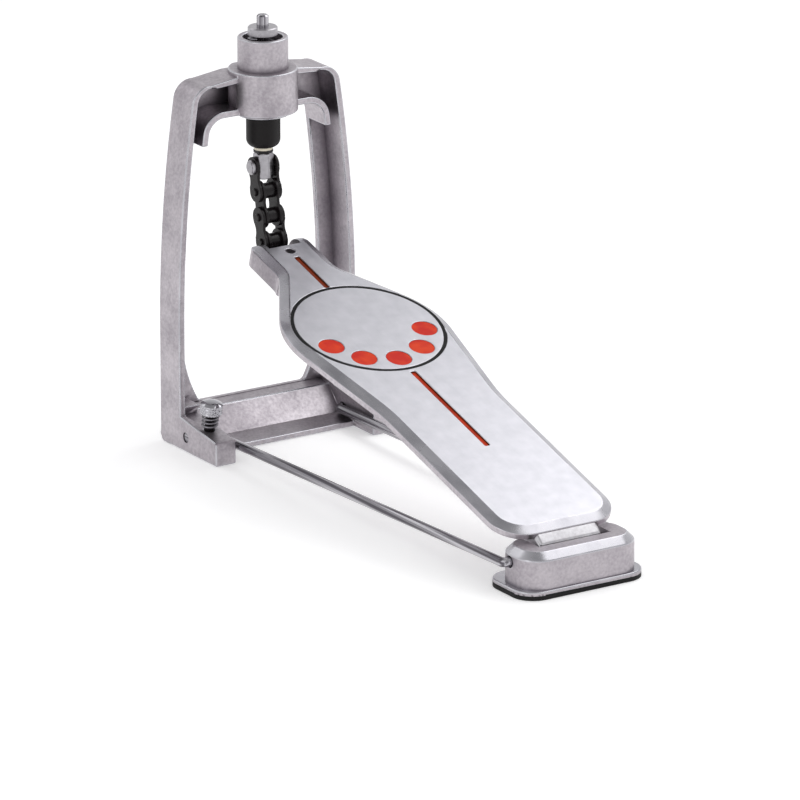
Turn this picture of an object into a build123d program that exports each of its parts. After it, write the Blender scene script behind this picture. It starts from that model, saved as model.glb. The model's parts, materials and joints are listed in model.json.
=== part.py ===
"""Foot pedal unit with a chain-driven pull rod: cast frame, radius rods, heel block and footboard.

Millimetres, +Z up, +Y away from the player, X = 0 is the plane of symmetry.
The origin is on the floor under the axis of the pull rod.
"""
import os
from math import acos, asin, atan2, cos, degrees, hypot, radians, sin, sqrt, tan

from build123d import *

# ---------------------------------------------------------------- driving dimensions
# cast frame
FRAME_HALF_WIDTH = 52.3      # outer faces of the uprights at the base
FRAME_REAR_Y = 15.2          # rear face of the casting
UPRIGHT_FRONT_Y = -3.8       # front edge of the uprights' outer plates
PLATE_T = 3.4                # outer plates and rims of the casting
FLANGE_T = 3.0               # rear flange of the uprights
FLANGE_WIDTH = 12.0          # rear flange, measured in from the outer face
STRAIGHT_TOP_Z = 60.0        # above this height the uprights curve inwards
UPRIGHT_CURVE_R = 770.0
SHOULDER_Z = 177.0           # where the uprights turn into the crown
SHOULDER_R = 11.0
WINDOW_FLARE = 9.2           # how far the flange sweeps inwards on its way down to the crossbeam
FLARE_TOP_Z = 52.0
WINDOW_BOTTOM_R = 3.0
WINDOW_TOP_R = 9.0
CROWN_UNDER_Z = 168.0        # underside of the crown's arms
# crown hub and spigot
HUB_R = 17.5
HUB_BOTTOM_Z = 166.0
HUB_TOP_Z = 190.0
HUB_FLOOR_T = 6.0
CAVITY_R = 10.0
SPIGOT_R = 12.7
SPIGOT_LENGTH = 16.0
# feet of the frame, one each side
FOOT_WIDTH = 11.8
FOOT_FRONT_Y = -38.2
FOOT_FRONT_HEIGHT = 12.3
FOOT_REAR_HEIGHT = 17.3
FOOT_CORNER_R = 4.5
# crossbeam
BEAM_HEIGHT = 17.6
BEAM_BROW_Y = 4.4            # front edge of the beam's top
BEAM_BROW_DROP = 1.2
BEAM_TOE_Y = -7.0            # foot of the sloping front face
BEAM_LEDGE_T = 4.6
BEAM_LEDGE_FRONT_Y = -20.0
BEAM_LEDGE_FRONT_T = 2.8
# radius rods
ROD_D = 4.8
ROD_FRONT_Y = -9.2
ROD_FRONT_Z = 7.5
ROD_SIDE_GAP = 0.4           # between a rod and the foot or heel block beside it
ROD_FRONT_BEND_R = 4.0
ROD_REAR_BEND_R = 2.8
ROD_HOLE_D = 5.4
ROD_END_SINK = 0.5           # the rods' ends stand back from the feet's outer faces
# spur screws and their springs
SPUR_LEAN = 10.0             # degrees, head towards the player
SPUR_Y = -22.3               # where the screw's axis meets the foot's top face
SPUR_D = 5.0
SPUR_HOLE_D = 5.2
SPUR_HEAD_D = 11.5
SPUR_HEAD_H = 7.0
SPUR_TIP_Z = 1.0
SPUR_SPRING_D = 8.6          # outside diameter
SPUR_SPRING_WIRE = 1.2
SPUR_SPRING_LENGTH = 8.6
SPUR_SPRING_TURNS = 3.1
# heel block
HEEL_HALF_WIDTH = 35.8
HEEL_FRONT_Y = -291.7        # edge next to the player
HEEL_DEPTH = 37.0
PAD_T = 2.2
HEEL_FLANGE_T = 2.0
HEEL_INSET = 3.0             # block in from the flange, at the sides
HEEL_FRONT_INSET = 1.4
HEEL_REAR_INSET = 6.0
HEEL_HEIGHT = 22.3
HEEL_CHAMFER = 3.6
HEEL_PLAN_R = 12.0
PAD_PLAN_R = 11.5
SLOT_HALF_WIDTH = 20.5
PAD_SCREW_X = 14.0
PAD_SCREW_INSET = 10.5       # from the pad's rear edge
SLOT_FRONT_Y = -279.0
SLOT_FLOOR_Z = 7.0
# heel hinge
HINGE_Y = -272.5
HINGE_Z = 15.0
HINGE_PIN_D = 5.0
HINGE_BORE_D = 5.08
BUSH_OD = 8.0
LUG_HALF_WIDTH = 18.0
LUG_BARREL_R = 5.6
LUG_CORNER = 1.6             # bevel on the front corners, under the heel edge
LUG_PLATE_T = 3.6
LUG_PLATE_LENGTH = 34.0
# footboard, in its own frame: y runs up the board to the toe, z is normal to its top face
BOARD_SLOPE = 16.3
BOARD_Y = -97.7              # centre of the ring, on the top face
BOARD_Z = 79.6
BOARD_T = 5.4
BEVEL_WIDTH = 4.6
BEVEL_DEPTH = 2.4
HEEL_EDGE = -182.4           # y of the heel edge
HEEL_CORNER_R = 17.0
LOWER_HALF_WIDTH = 34.0
NECK_HALF_WIDTH = 16.5
SHOULDER_Y = 8.9             # where the straight flanks of the outline would meet
SHOULDER_HALF_WIDTH = 45.7
SHOULDER_ROUND_R = 54.0
TAPER_END_Y = -69.0
NECK_START_Y = 58.4
TOE_BLOCK_START_Y = 56.0
TOE_BLOCK_T = 12.0
TOE_END_Y = 81.0             # floor of the chain slot
LOBE_END_Y = 90.8
LOBE_PLAN_R = 7.2
LOBE_NOSE_R = 8.8
CHAIN_SLOT_HALF_WIDTH = 9.1
SPINE_HALF_WIDTH = 5.0
SPINE_DEPTH = 4.0
# inlays in the board
RING_R = 39.0                # outer radius
RING_LINE = 1.5
INLAY_DEPTH = 0.7
DOT_R = 6.4
DOT_CIRCLE_R = 28.5
DOT_ANGLES = (-72, -36, 0, 36, 72)
DOT_SINK = 0.3
STRIPE_WIDTH = 2.8
STRIPE_DEPTH = 1.5
STRIPE_FILL = 0.5
UPPER_STRIPE = (39.5, 69.6)
LOWER_STRIPE = (-111.0, -41.5)
SET_SCREW_Y = 75.5
SET_SCREW_HOLE_D = 4.8
# chain
PITCH = 12.7
LINK_LEAN = (11.0, 11.8, 12.2, 12.6)  # degrees from the vertical, top link first
TOP_PIN_Z = 138.9
CHAIN_PIN_D = 3.96
CHAIN_BUSH_D = 5.7
ROLLER_D = 7.9
ROLLER_HALF = 3.1
CHAIN_PLATE_T = 1.5
INNER_PLATE_X = 3.25         # inside face of the inner plates
OUTER_PLATE_X = 4.9          # inside face of the outer plates
INNER_PLATE_H = 11.6
OUTER_PLATE_H = 10.4
CHAIN_WAIST = 0.72           # waist of a link plate, as a share of its height
CHAIN_PIN_HALF = 7.5
CHAIN_FIT = 0.05             # radial running clearance in the chain
# clevis under the toe
CLEVIS_EAR_T = 3.2
CLEVIS_EAR_R = 4.9
CLEVIS_GAP = 0.5             # from the last link's plates to each ear
CLEVIS_PLATE_T = 5.5
CLEVIS_LENGTH = 19.0
CLEVIS_NOTCH = 2.0           # the plate's front stands back between the ears
OPEN_PIVOT_GAP = 0.55        # radial clearance at the toe pin, where the linkage is opened
# pull rod and what it carries
ROD_MAIN_D = 6.0
ROD_TOP_Z = 217.0
COUPLING_AF = 9.2
COUPLING_BOTTOM = 6.1        # below the top chain pin
COUPLING_TOP = 7.2           # above it
LOCK_NUT_T = 1.5
LOCK_NUT_AF = 8.6
WASHER_T = 1.4
WASHER_D = 9.2
BUMPER_D = 17.2
BUMPER_GAP = 0.3
BUMPER_LIP = 4.2
SPRING_NUT_T = 4.5
SPRING_NUT_D = 15.0
GUIDE_BUSH_D = 10.0
GUIDE_FLANGE_D = 15.0
GUIDE_FLANGE_T = 1.5
GUIDE_FIT = 0.05
RETURN_SPRING_D = 15.4
RETURN_SPRING_WIRE = 1.3
RETURN_SPRING_TURNS = 4.6
RETURN_SPRING_LENGTH = 33.0
BUTTON_D = 7.6
BUTTON_H = 1.8

# ---------------------------------------------------------------- derived places
FOOT_INNER_X = FRAME_HALF_WIDTH - FOOT_WIDTH
FOOT_MID_X = FRAME_HALF_WIDTH - FOOT_WIDTH / 2
HEEL_BLOCK_HALF = HEEL_HALF_WIDTH - HEEL_INSET
PAD_SCREW_Y = HEEL_FRONT_Y + HEEL_DEPTH - PAD_SCREW_INSET
BOARD_FRAME = Location((0, BOARD_Y, BOARD_Z), (BOARD_SLOPE, 0, 0))
CAVITY_FLOOR_Z = HUB_BOTTOM_Z + HUB_FLOOR_T
SPRING_SEAT_Z = CAVITY_FLOOR_Z + GUIDE_FLANGE_T
SPRING_TOP_Z = SPRING_SEAT_Z + RETURN_SPRING_LENGTH
COUPLING_TOP_Z = TOP_PIN_Z + COUPLING_TOP
BUMPER_BOTTOM_Z = COUPLING_TOP_Z + LOCK_NUT_T + WASHER_T
ROD_PATH_X = (FOOT_INNER_X - ROD_D / 2 - ROD_SIDE_GAP, HEEL_BLOCK_HALF + ROD_D / 2 + ROD_SIDE_GAP)


def chain_pins():
    """(y, z) of the five chain pins, from the coupling down to the toe."""
    pins = [(0.0, TOP_PIN_Z)]
    for lean in LINK_LEAN:
        y, z = pins[-1]
        pins.append((y - PITCH * sin(radians(lean)), z - PITCH * cos(radians(lean))))
    return pins


PINS = chain_pins()


def to_board(y, z):
    """A point of the part's YZ plane in the footboard's own frame."""
    dy, dz = y - BOARD_Y, z - BOARD_Z
    s, c = sin(radians(BOARD_SLOPE)), cos(radians(BOARD_SLOPE))
    return dy * c + dz * s, dz * c - dy * s


TOE_PIN = to_board(*PINS[-1])
HINGE = to_board(HINGE_Y, HINGE_Z)


# ---------------------------------------------------------------- helpers
def box(x, y, z):
    """A box from its (low, high) pairs."""
    size = [b - a for a, b in (x, y, z)]
    middle = [(a + b) / 2 for a, b in (x, y, z)]
    return Pos(*middle) * Box(*size)


def rod_x(radius, x0, x1, y, z):
    """A cylinder along X."""
    return Pos((x0 + x1) / 2, y, z) * Rot(0, 90, 0) * Cylinder(radius, abs(x1 - x0))


def rod_z(radius, z0, z1, x=0.0, y=0.0):
    """A cylinder along Z."""
    return Pos(x, y, (z0 + z1) / 2) * Cylinder(radius, z1 - z0)


def slab_y(face_xz, y0, y1):
    """A face drawn in (x, z), between two Y planes."""
    return Pos(0, y1, 0) * extrude(Plane.XZ * face_xz, amount=y1 - y0)


def slab_x(face_yz, x0, x1):
    """A face drawn in (y, z), between two X planes."""
    return Pos(x0, 0, 0) * extrude(Plane.YZ * face_yz, amount=x1 - x0)


def polygon(*points):
    return make_face(Polyline(*points, close=True))


def mirrored(shape):
    return mirror(shape, about=Plane.YZ)


def both_sides(shape):
    return shape + mirrored(shape)


def hex_prism(across_flats, z0, z1):
    """A hexagon with two flats facing along X."""
    face = RegularPolygon(across_flats / 2, 6, major_radius=False, rotation=30)
    return Pos(0, 0, z0) * extrude(face, amount=z1 - z0)


def coil(radius, wire, length, turns, z0):
    """A compression spring standing on z0, as one swept wire."""
    rise = length - wire
    path = Helix(pitch=rise / turns, height=rise, radius=radius)
    start = path @ 0
    section = Plane(origin=start, z_dir=path % 0) * Circle(wire / 2)
    return Pos(0, 0, z0 + wire / 2) * sweep(section, path=path)


# ---------------------------------------------------------------- cast frame
def upright_x(z):
    """Outer face of an upright at a height."""
    rise = max(z - STRAIGHT_TOP_Z, 0.0)
    return FRAME_HALF_WIDTH - (UPRIGHT_CURVE_R - sqrt(UPRIGHT_CURVE_R ** 2 - rise ** 2))


def upright_outline(inset):
    """Outline of the whole frame seen from the front, set in from its outer faces."""
    low = (FRAME_HALF_WIDTH - inset, STRAIGHT_TOP_Z)
    middle_z = (STRAIGHT_TOP_Z + SHOULDER_Z) / 2
    mid = (upright_x(middle_z) - inset, middle_z)
    high = (upright_x(SHOULDER_Z) - inset, SHOULDER_Z)
    top_z = HUB_TOP_Z - 2 - inset
    hub_x = HUB_R - 2
    turn = (high[0] - SHOULDER_R, SHOULDER_Z + SHOULDER_R * 0.8 - inset * 0.6)
    side = [Line((FRAME_HALF_WIDTH - inset, 0), low),
            ThreePointArc(low, mid, high),
            TangentArc(high, turn, tangent=(high[0] - mid[0], high[1] - mid[1])),
            Line(turn, (hub_x, top_z))]
    half = Wire(side)
    other = mirror(half, about=Plane.YZ)
    top = Line((hub_x, top_z), (-hub_x, top_z))
    base = Line((-FRAME_HALF_WIDTH + inset, 0), (FRAME_HALF_WIDTH - inset, 0))
    return make_face(Wire([*half.edges(), *other.edges(), top, base]))


def window_outline(grow=0.0):
    """The opening between the uprights, seen from the front."""
    def x(z):
        return upright_x(z) - FLANGE_WIDTH + grow
    low_z, high_z = BEAM_HEIGHT, CROWN_UNDER_Z + grow
    middle_z = (STRAIGHT_TOP_Z + high_z) / 2
    low, mid, high = (x(0), STRAIGHT_TOP_Z), (x(middle_z), middle_z), (x(high_z), high_z)
    flare_top, flare_end = (x(0), FLARE_TOP_Z), (x(0) - WINDOW_FLARE, low_z)
    half = Wire([TangentArc(flare_top, flare_end, tangent=(0, -1)), Line(flare_top, low),
                 ThreePointArc(low, mid, high)])
    base = Line((-flare_end[0], low_z), flare_end)
    top = Line((-high[0], high_z), high)
    face = make_face(Wire([*half.edges(), *mirror(half, about=Plane.YZ).edges(), base, top]))
    corners = face.vertices().sort_by(Axis.Y)
    face = fillet(corners[:2], WINDOW_BOTTOM_R)
    corners = face.vertices().group_by(Axis.Y)[-1]
    return fillet(corners, WINDOW_TOP_R + grow)


def beam():
    profile = polygon((FRAME_REAR_Y, 0), (FRAME_REAR_Y, BEAM_HEIGHT),
                      (BEAM_BROW_Y, BEAM_HEIGHT - BEAM_BROW_DROP), (BEAM_TOE_Y, BEAM_LEDGE_T),
                      (BEAM_LEDGE_FRONT_Y, BEAM_LEDGE_FRONT_T), (BEAM_LEDGE_FRONT_Y, 0))
    return slab_x(profile, -FOOT_INNER_X - 1, FOOT_INNER_X + 1)


def foot():
    """The left foot block, with its sloping top."""
    profile = polygon((FRAME_REAR_Y, 0), (FRAME_REAR_Y, BEAM_HEIGHT + 4), (UPRIGHT_FRONT_Y, BEAM_HEIGHT + 4),
                      (UPRIGHT_FRONT_Y + 2.2, FOOT_REAR_HEIGHT), (FOOT_FRONT_Y, FOOT_FRONT_HEIGHT),
                      (FOOT_FRONT_Y, 0))
    block = slab_x(profile, -FRAME_HALF_WIDTH, -FOOT_INNER_X)
    top_edge = block.edges().filter_by(Axis.X).filter_by(
        lambda e: abs(e.center().Y - FOOT_FRONT_Y) < 0.1 and e.center().Z > 5)
    return fillet(top_edge, 1.2)


def spur_frame(side):
    """Frame on a spur screw's axis, its origin on the foot's top face; side is -1 or 1."""
    slope = (FOOT_REAR_HEIGHT - FOOT_FRONT_HEIGHT) / (UPRIGHT_FRONT_Y + 2.2 - FOOT_FRONT_Y)
    z = FOOT_FRONT_HEIGHT + slope * (SPUR_Y - FOOT_FRONT_Y)
    return Location((side * FOOT_MID_X, SPUR_Y, z), (SPUR_LEAN, 0, 0))


def rod_path(side):
    """Centre line of a radius rod: foot, run, heel block."""
    front_x, rear_x = ROD_PATH_X
    points = [(FRAME_HALF_WIDTH - ROD_END_SINK, ROD_FRONT_Y, ROD_FRONT_Z), (front_x, ROD_FRONT_Y, ROD_FRONT_Z),
              (rear_x, HINGE_Y, HINGE_Z), (SLOT_HALF_WIDTH + 2.6, HINGE_Y, HINGE_Z)]
    points = [(side * x, y, z) for x, y, z in points]
    return FilletPolyline(*points, radius=[ROD_FRONT_BEND_R, ROD_REAR_BEND_R])


def along(path, diameter):
    section = Plane(origin=path @ 0, z_dir=path % 0) * Circle(diameter / 2)
    return sweep(section, path=path)


def rounded_envelope():
    """Everything the casting may fill, with its lower rear corner rounded."""
    side = Pos((FRAME_REAR_Y - 60) / 2, 110) * Rectangle(FRAME_REAR_Y + 60, 220)
    corner = side.vertices().group_by(Axis.Y)[0].sort_by(Axis.X)[-1]
    return slab_x(fillet(corner, FOOT_CORNER_R), -FRAME_HALF_WIDTH - 5, FRAME_HALF_WIDTH + 5)


def frame_casting():
    outer = upright_outline(0)
    window = window_outline()
    back = slab_y(outer - window, FRAME_REAR_Y - FLANGE_T, FRAME_REAR_Y)
    rim = slab_y(outer - upright_outline(PLATE_T), UPRIGHT_FRONT_Y, FRAME_REAR_Y)
    arch = (window_outline(PLATE_T) - window) & Pos(0, CROWN_UNDER_Z) * Rectangle(200, 26)
    arch = slab_y(arch, UPRIGHT_FRONT_Y, FRAME_REAR_Y)
    low = box((-60, 60), (-60, 60), (-5, BEAM_HEIGHT - 1))
    rim = rim - low
    body = back + rim + arch + beam() + both_sides(foot())
    mark_x = FRAME_HALF_WIDTH - PLATE_T - 3.6
    mark = Pos(-mark_x, FRAME_REAR_Y - FLANGE_T, 27) * Rot(90, 0, 0) * Cylinder(2.2, 1.0)
    body += both_sides(mark)
    body += rod_z(HUB_R, CROWN_UNDER_Z, HUB_TOP_Z)
    body += rod_z(HUB_R - 4, HUB_BOTTOM_Z, CROWN_UNDER_Z + 1)
    body += rod_z(SPIGOT_R, HUB_TOP_Z - 1, HUB_TOP_Z + SPIGOT_LENGTH)
    body -= rod_z(CAVITY_R, CAVITY_FLOOR_Z, HUB_TOP_Z + SPIGOT_LENGTH + 1)
    body -= rod_z(GUIDE_BUSH_D / 2, HUB_BOTTOM_Z - 1, CAVITY_FLOOR_Z + 1)
    for side in (-1, 1):
        body -= rod_x(ROD_HOLE_D / 2, side * (FOOT_INNER_X - 1), side * (FRAME_HALF_WIDTH + 1),
                      ROD_FRONT_Y, ROD_FRONT_Z)
        body -= along(rod_path(side), ROD_D + 2 * ROD_SIDE_GAP)
        body -= spur_frame(side) * Cylinder(SPUR_HOLE_D / 2, 60)
    return body & rounded_envelope()


# ---------------------------------------------------------------- radius rods, spur screws
def radius_rod(side):
    return along(rod_path(side), ROD_D)


def spur_screw(side):
    """Knurled anchor screw, in the frame of its own axis."""
    frame = spur_frame(side)
    tip = (frame.position.Z - SPUR_TIP_Z) / cos(radians(SPUR_LEAN)) - 0.6
    shank = rod_z(SPUR_D / 2, -tip + 2.5, SPUR_SPRING_LENGTH + 0.4)
    point = Pos(0, 0, -tip + 1.25) * Cone(0.4, SPUR_D / 2, 2.5)
    z0 = SPUR_SPRING_LENGTH + 0.3
    head = rod_z(SPUR_HEAD_D / 2, z0, z0 + SPUR_HEAD_H)
    rims = head.edges().filter_by(GeomType.CIRCLE).sort_by(Axis.Z)
    head = fillet(rims[-1], 1.5)
    rims = head.edges().filter_by(GeomType.CIRCLE).sort_by(Axis.Z)
    head = chamfer(rims[0], 0.6)
    return frame * (shank + point + head)


def spur_spring(side):
    radius = (SPUR_SPRING_D - SPUR_SPRING_WIRE) / 2
    wire = coil(radius, SPUR_SPRING_WIRE, SPUR_SPRING_LENGTH - 1.0, SPUR_SPRING_TURNS, 0.95)
    return spur_frame(side) * wire


# ---------------------------------------------------------------- heel block
def heel_plan(side_inset, front_inset, rear_inset, radius):
    width = 2 * (HEEL_HALF_WIDTH - side_inset)
    depth = HEEL_DEPTH - front_inset - rear_inset
    return Pos(0, HEEL_FRONT_Y + front_inset + depth / 2) * RectangleRounded(width, depth, radius)


def heel_casting():
    flange = Pos(0, 0, PAD_T) * extrude(heel_plan(0, 0, 0, PAD_PLAN_R), amount=HEEL_FLANGE_T)
    top = flange.edges().filter_by(lambda e: e.bounding_box().min.Z > PAD_T + HEEL_FLANGE_T - 0.01)
    flange = fillet(top, 0.8)
    plan = heel_plan(HEEL_INSET, HEEL_FRONT_INSET, HEEL_REAR_INSET, HEEL_PLAN_R)
    block = Pos(0, 0, PAD_T) * extrude(plan, amount=HEEL_HEIGHT - PAD_T)
    top = block.edges().filter_by(lambda e: e.bounding_box().min.Z > HEEL_HEIGHT - 0.01)
    block = chamfer(top, HEEL_CHAMFER)
    body = flange + block
    body -= box((-SLOT_HALF_WIDTH, SLOT_HALF_WIDTH), (SLOT_FRONT_Y, HEEL_FRONT_Y + HEEL_DEPTH - 2.0),
                (SLOT_FLOOR_Z, HEEL_HEIGHT + 1))
    body -= rod_x(HINGE_BORE_D / 2, -HEEL_HALF_WIDTH - 1, HEEL_HALF_WIDTH + 1, HINGE_Y, HINGE_Z)
    for side in (-1, 1):
        body -= along(rod_path(side), ROD_D + 2 * ROD_SIDE_GAP)
        body -= rod_z(1.6, PAD_T - 1, SLOT_FLOOR_Z - 0.5, side * PAD_SCREW_X, PAD_SCREW_Y)
    return body


def heel_rubber_pad():
    pad = extrude(heel_plan(0, 0, 0, PAD_PLAN_R), amount=PAD_T)
    for x in (-PAD_SCREW_X, PAD_SCREW_X):
        pad -= rod_z(4.0, -1, PAD_T + 1, x, PAD_SCREW_Y)
    return pad


def heel_pad_screws():
    screws = []
    for x in (-PAD_SCREW_X, PAD_SCREW_X):
        head = rod_z(3.4, 0.4, PAD_T, x, PAD_SCREW_Y)
        screws.append(head + rod_z(1.6, PAD_T - 0.5, SLOT_FLOOR_Z - 1.0, x, PAD_SCREW_Y))
    return Compound(screws)


def heel_hinge_pin():
    return rod_x(HINGE_PIN_D / 2, -SLOT_HALF_WIDTH - 2.2, SLOT_HALF_WIDTH + 2.2, HINGE_Y, HINGE_Z)


def heel_spacers():
    ring = rod_x(4.6, -SLOT_HALF_WIDTH + 0.1, -LUG_HALF_WIDTH - 0.25, HINGE_Y, HINGE_Z)
    ring -= rod_x(HINGE_BORE_D / 2, -SLOT_HALF_WIDTH - 1, -LUG_HALF_WIDTH + 1, HINGE_Y, HINGE_Z)
    return Compound([ring, mirrored(ring)])


# ---------------------------------------------------------------- footboard
def board_outline():
    """Outline of the footboard, y up the board."""
    half = [(LOWER_HALF_WIDTH, TAPER_END_Y), (SHOULDER_HALF_WIDTH, SHOULDER_Y),
            (NECK_HALF_WIDTH, NECK_START_Y), (NECK_HALF_WIDTH, LOBE_END_Y)]
    right = FilletPolyline((LOWER_HALF_WIDTH, HEEL_EDGE), *half,
                           radius=[100.0, SHOULDER_ROUND_R, 14.0])
    left = mirror(right, about=Plane.YZ)
    toe = Line((-NECK_HALF_WIDTH, LOBE_END_Y), (NECK_HALF_WIDTH, LOBE_END_Y))
    heel = Line((-LOWER_HALF_WIDTH, HEEL_EDGE), (LOWER_HALF_WIDTH, HEEL_EDGE))
    face = make_face(Wire([*right.edges(), *left.edges(), toe, heel]))
    face = fillet(face.vertices().group_by(Axis.Y)[0], HEEL_CORNER_R)
    return fillet(face.vertices().group_by(Axis.Y)[-1], LOBE_PLAN_R)


def nose_envelope():
    """Side view of the board with its lobes rounded over at the toe end."""
    nose_y = LOBE_END_Y - LOBE_NOSE_R
    side = polygon((HEEL_EDGE - 1, 1), (nose_y, 1), (nose_y, 0), (nose_y, -TOE_BLOCK_T - 1),
                   (HEEL_EDGE - 1, -TOE_BLOCK_T - 1))
    side += Pos(nose_y, -LOBE_NOSE_R) * Circle(LOBE_NOSE_R)
    side += polygon((nose_y - 2, -LOBE_NOSE_R), (LOBE_END_Y, -LOBE_NOSE_R), (LOBE_END_Y, -TOE_BLOCK_T - 1),
                    (nose_y - 2, -TOE_BLOCK_T - 1))
    return slab_x(side, -SHOULDER_HALF_WIDTH - 1, SHOULDER_HALF_WIDTH + 1)


def toe_block():
    """The thick toe under the neck, before the chain slot is cut."""
    keep = box((-NECK_HALF_WIDTH - 1, NECK_HALF_WIDTH + 1), (TOE_BLOCK_START_Y, LOBE_END_Y + 1),
               (-TOE_BLOCK_T - 1, 1))
    return Pos(0, 0, -TOE_BLOCK_T) * extrude(board_outline(), amount=TOE_BLOCK_T - BEVEL_DEPTH - 0.3) & keep


def stripe(ends, depth0, depth1):
    middle = (ends[0] + ends[1]) / 2
    length = ends[1] - ends[0]
    face = Pos(0, middle) * RectangleRounded(STRIPE_WIDTH, length, STRIPE_WIDTH * 0.3)
    return Pos(0, 0, -depth1) * extrude(face, amount=depth1 - depth0)


def ring_band(depth):
    face = Circle(RING_R) - Circle(RING_R - RING_LINE)
    return Pos(0, 0, -depth) * extrude(face, amount=depth)


def dot_places():
    return [(DOT_CIRCLE_R * sin(radians(a)), -DOT_CIRCLE_R * cos(radians(a))) for a in DOT_ANGLES]


def clevis_pocket():
    """Pocket in the toe block that the clevis plate fills, with the chain slot in front of it."""
    half = INNER_PLATE_X + CHAIN_PLATE_T + CLEVIS_GAP + CLEVIS_EAR_T
    pocket = box((-half, half), (TOE_END_Y - CLEVIS_LENGTH, LOBE_END_Y + 1),
                 (-TOE_BLOCK_T - 1, -TOE_BLOCK_T + CLEVIS_PLATE_T))
    slot = box((-CHAIN_SLOT_HALF_WIDTH, CHAIN_SLOT_HALF_WIDTH), (TOE_END_Y, LOBE_END_Y + 1),
               (-TOE_BLOCK_T - 1, 2))
    return pocket + slot


def footboard():
    plate = Pos(0, 0, -BOARD_T) * extrude(board_outline(), amount=BOARD_T)
    top = plate.faces().sort_by(Axis.Z)[-1]
    plate = chamfer(top.edges(), BEVEL_WIDTH, BEVEL_DEPTH, reference=top)
    body = (plate + toe_block()) & nose_envelope()
    spine = box((-SPINE_HALF_WIDTH, SPINE_HALF_WIDTH), (HEEL_EDGE + LUG_PLATE_LENGTH + 3, TOE_BLOCK_START_Y + 1),
                (-BOARD_T - SPINE_DEPTH, -BOARD_T + 0.5))
    body += spine
    body -= clevis_pocket()
    body -= ring_band(INLAY_DEPTH)
    for x, y in dot_places():
        body -= Pos(x, y, 0) * Cylinder(DOT_R, 2 * INLAY_DEPTH)
    for ends in (UPPER_STRIPE, LOWER_STRIPE):
        body -= stripe(ends, -1, STRIPE_DEPTH)
    body -= rod_z(SET_SCREW_HOLE_D / 2, -TOE_BLOCK_T, 1, 0, SET_SCREW_Y)
    for x, y in lug_screw_places():
        body -= rod_z(1.7, -BOARD_T - 1, -BOARD_T + 2.6, x, y)
    return BOARD_FRAME * body


def ring_inlay():
    return BOARD_FRAME * ring_band(INLAY_DEPTH)


def dot_inlays():
    dots = [Pos(x, y, -INLAY_DEPTH) * Cylinder(DOT_R, INLAY_DEPTH - DOT_SINK,
                                               align=(Align.CENTER, Align.CENTER, Align.MIN))
            for x, y in dot_places()]
    return Compound([BOARD_FRAME * d for d in dots])


def stripe_inlays():
    fills = [stripe(ends, STRIPE_DEPTH - STRIPE_FILL, STRIPE_DEPTH) for ends in (UPPER_STRIPE, LOWER_STRIPE)]
    return Compound([BOARD_FRAME * f for f in fills])


def lug_screw_places():
    return [(side * 10.5, HEEL_EDGE + LUG_PLATE_LENGTH - along_y) for side in (-1, 1) for along_y in (6.0,)]


def hinge_lug():
    """Cast lug under the heel end, with the hinge barrel."""
    hy, hz = HINGE
    tail = HEEL_EDGE + LUG_PLATE_LENGTH
    plate = polygon((tail, -BOARD_T), (tail, -BOARD_T - LUG_PLATE_T), (hy + 3, -BOARD_T - LUG_PLATE_T - 1.5),
                    (hy, hz), (hy - LUG_BARREL_R, hz), (HEEL_EDGE - 5.0, -BEVEL_DEPTH - 2.6),
                    (HEEL_EDGE, -BEVEL_DEPTH - 0.2), (HEEL_EDGE, -BOARD_T))
    neck = polygon((hy + LUG_BARREL_R, hz), (hy + LUG_BARREL_R + 5, -BOARD_T - 0.2), (hy - 2, -BOARD_T - 0.2),
                   (hy - 2, hz))
    body = slab_x(plate + neck, -LUG_HALF_WIDTH, LUG_HALF_WIDTH)
    corners = body.edges().filter_by(lambda e: abs(abs(e.center().X) - LUG_HALF_WIDTH) < 0.01
                                     and HEEL_EDGE - 5 < e.center().Y < HEEL_EDGE
                                     and e.center().Z > -BOARD_T)
    body = chamfer(corners, LUG_CORNER)
    body += rod_x(LUG_BARREL_R, -LUG_HALF_WIDTH, LUG_HALF_WIDTH, hy, hz)
    body -= rod_x(BUSH_OD / 2, -LUG_HALF_WIDTH - 1, LUG_HALF_WIDTH + 1, hy, hz)
    for x, y in lug_screw_places():
        body -= rod_z(1.7, -20, 0, x, y)
        body -= rod_z(3.6, -20, -BOARD_T - LUG_PLATE_T, x, y)
    return BOARD_FRAME * body


def hinge_lug_screws():
    screws = []
    for x, y in lug_screw_places():
        under = -BOARD_T - LUG_PLATE_T
        head = rod_z(3.3, under - 2.2, under, x, y)
        head -= hex_prism(2.5, under - 3, under - 1).moved(Location((x, y, 0)))
        shank = rod_z(1.68, under - 0.5, -BOARD_T + 2.4, x, y)
        screws.append(BOARD_FRAME * (head + shank))
    return Compound(screws)


def hinge_bushes():
    hy, hz = HINGE
    bush = rod_x(BUSH_OD / 2, -LUG_HALF_WIDTH, -LUG_HALF_WIDTH + 10, hy, hz)
    bush -= rod_x(HINGE_BORE_D / 2 + 0.01, -LUG_HALF_WIDTH - 1, -LUG_HALF_WIDTH + 11, hy, hz)
    bush = BOARD_FRAME * bush
    return Compound([bush, mirrored(bush)])


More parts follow.
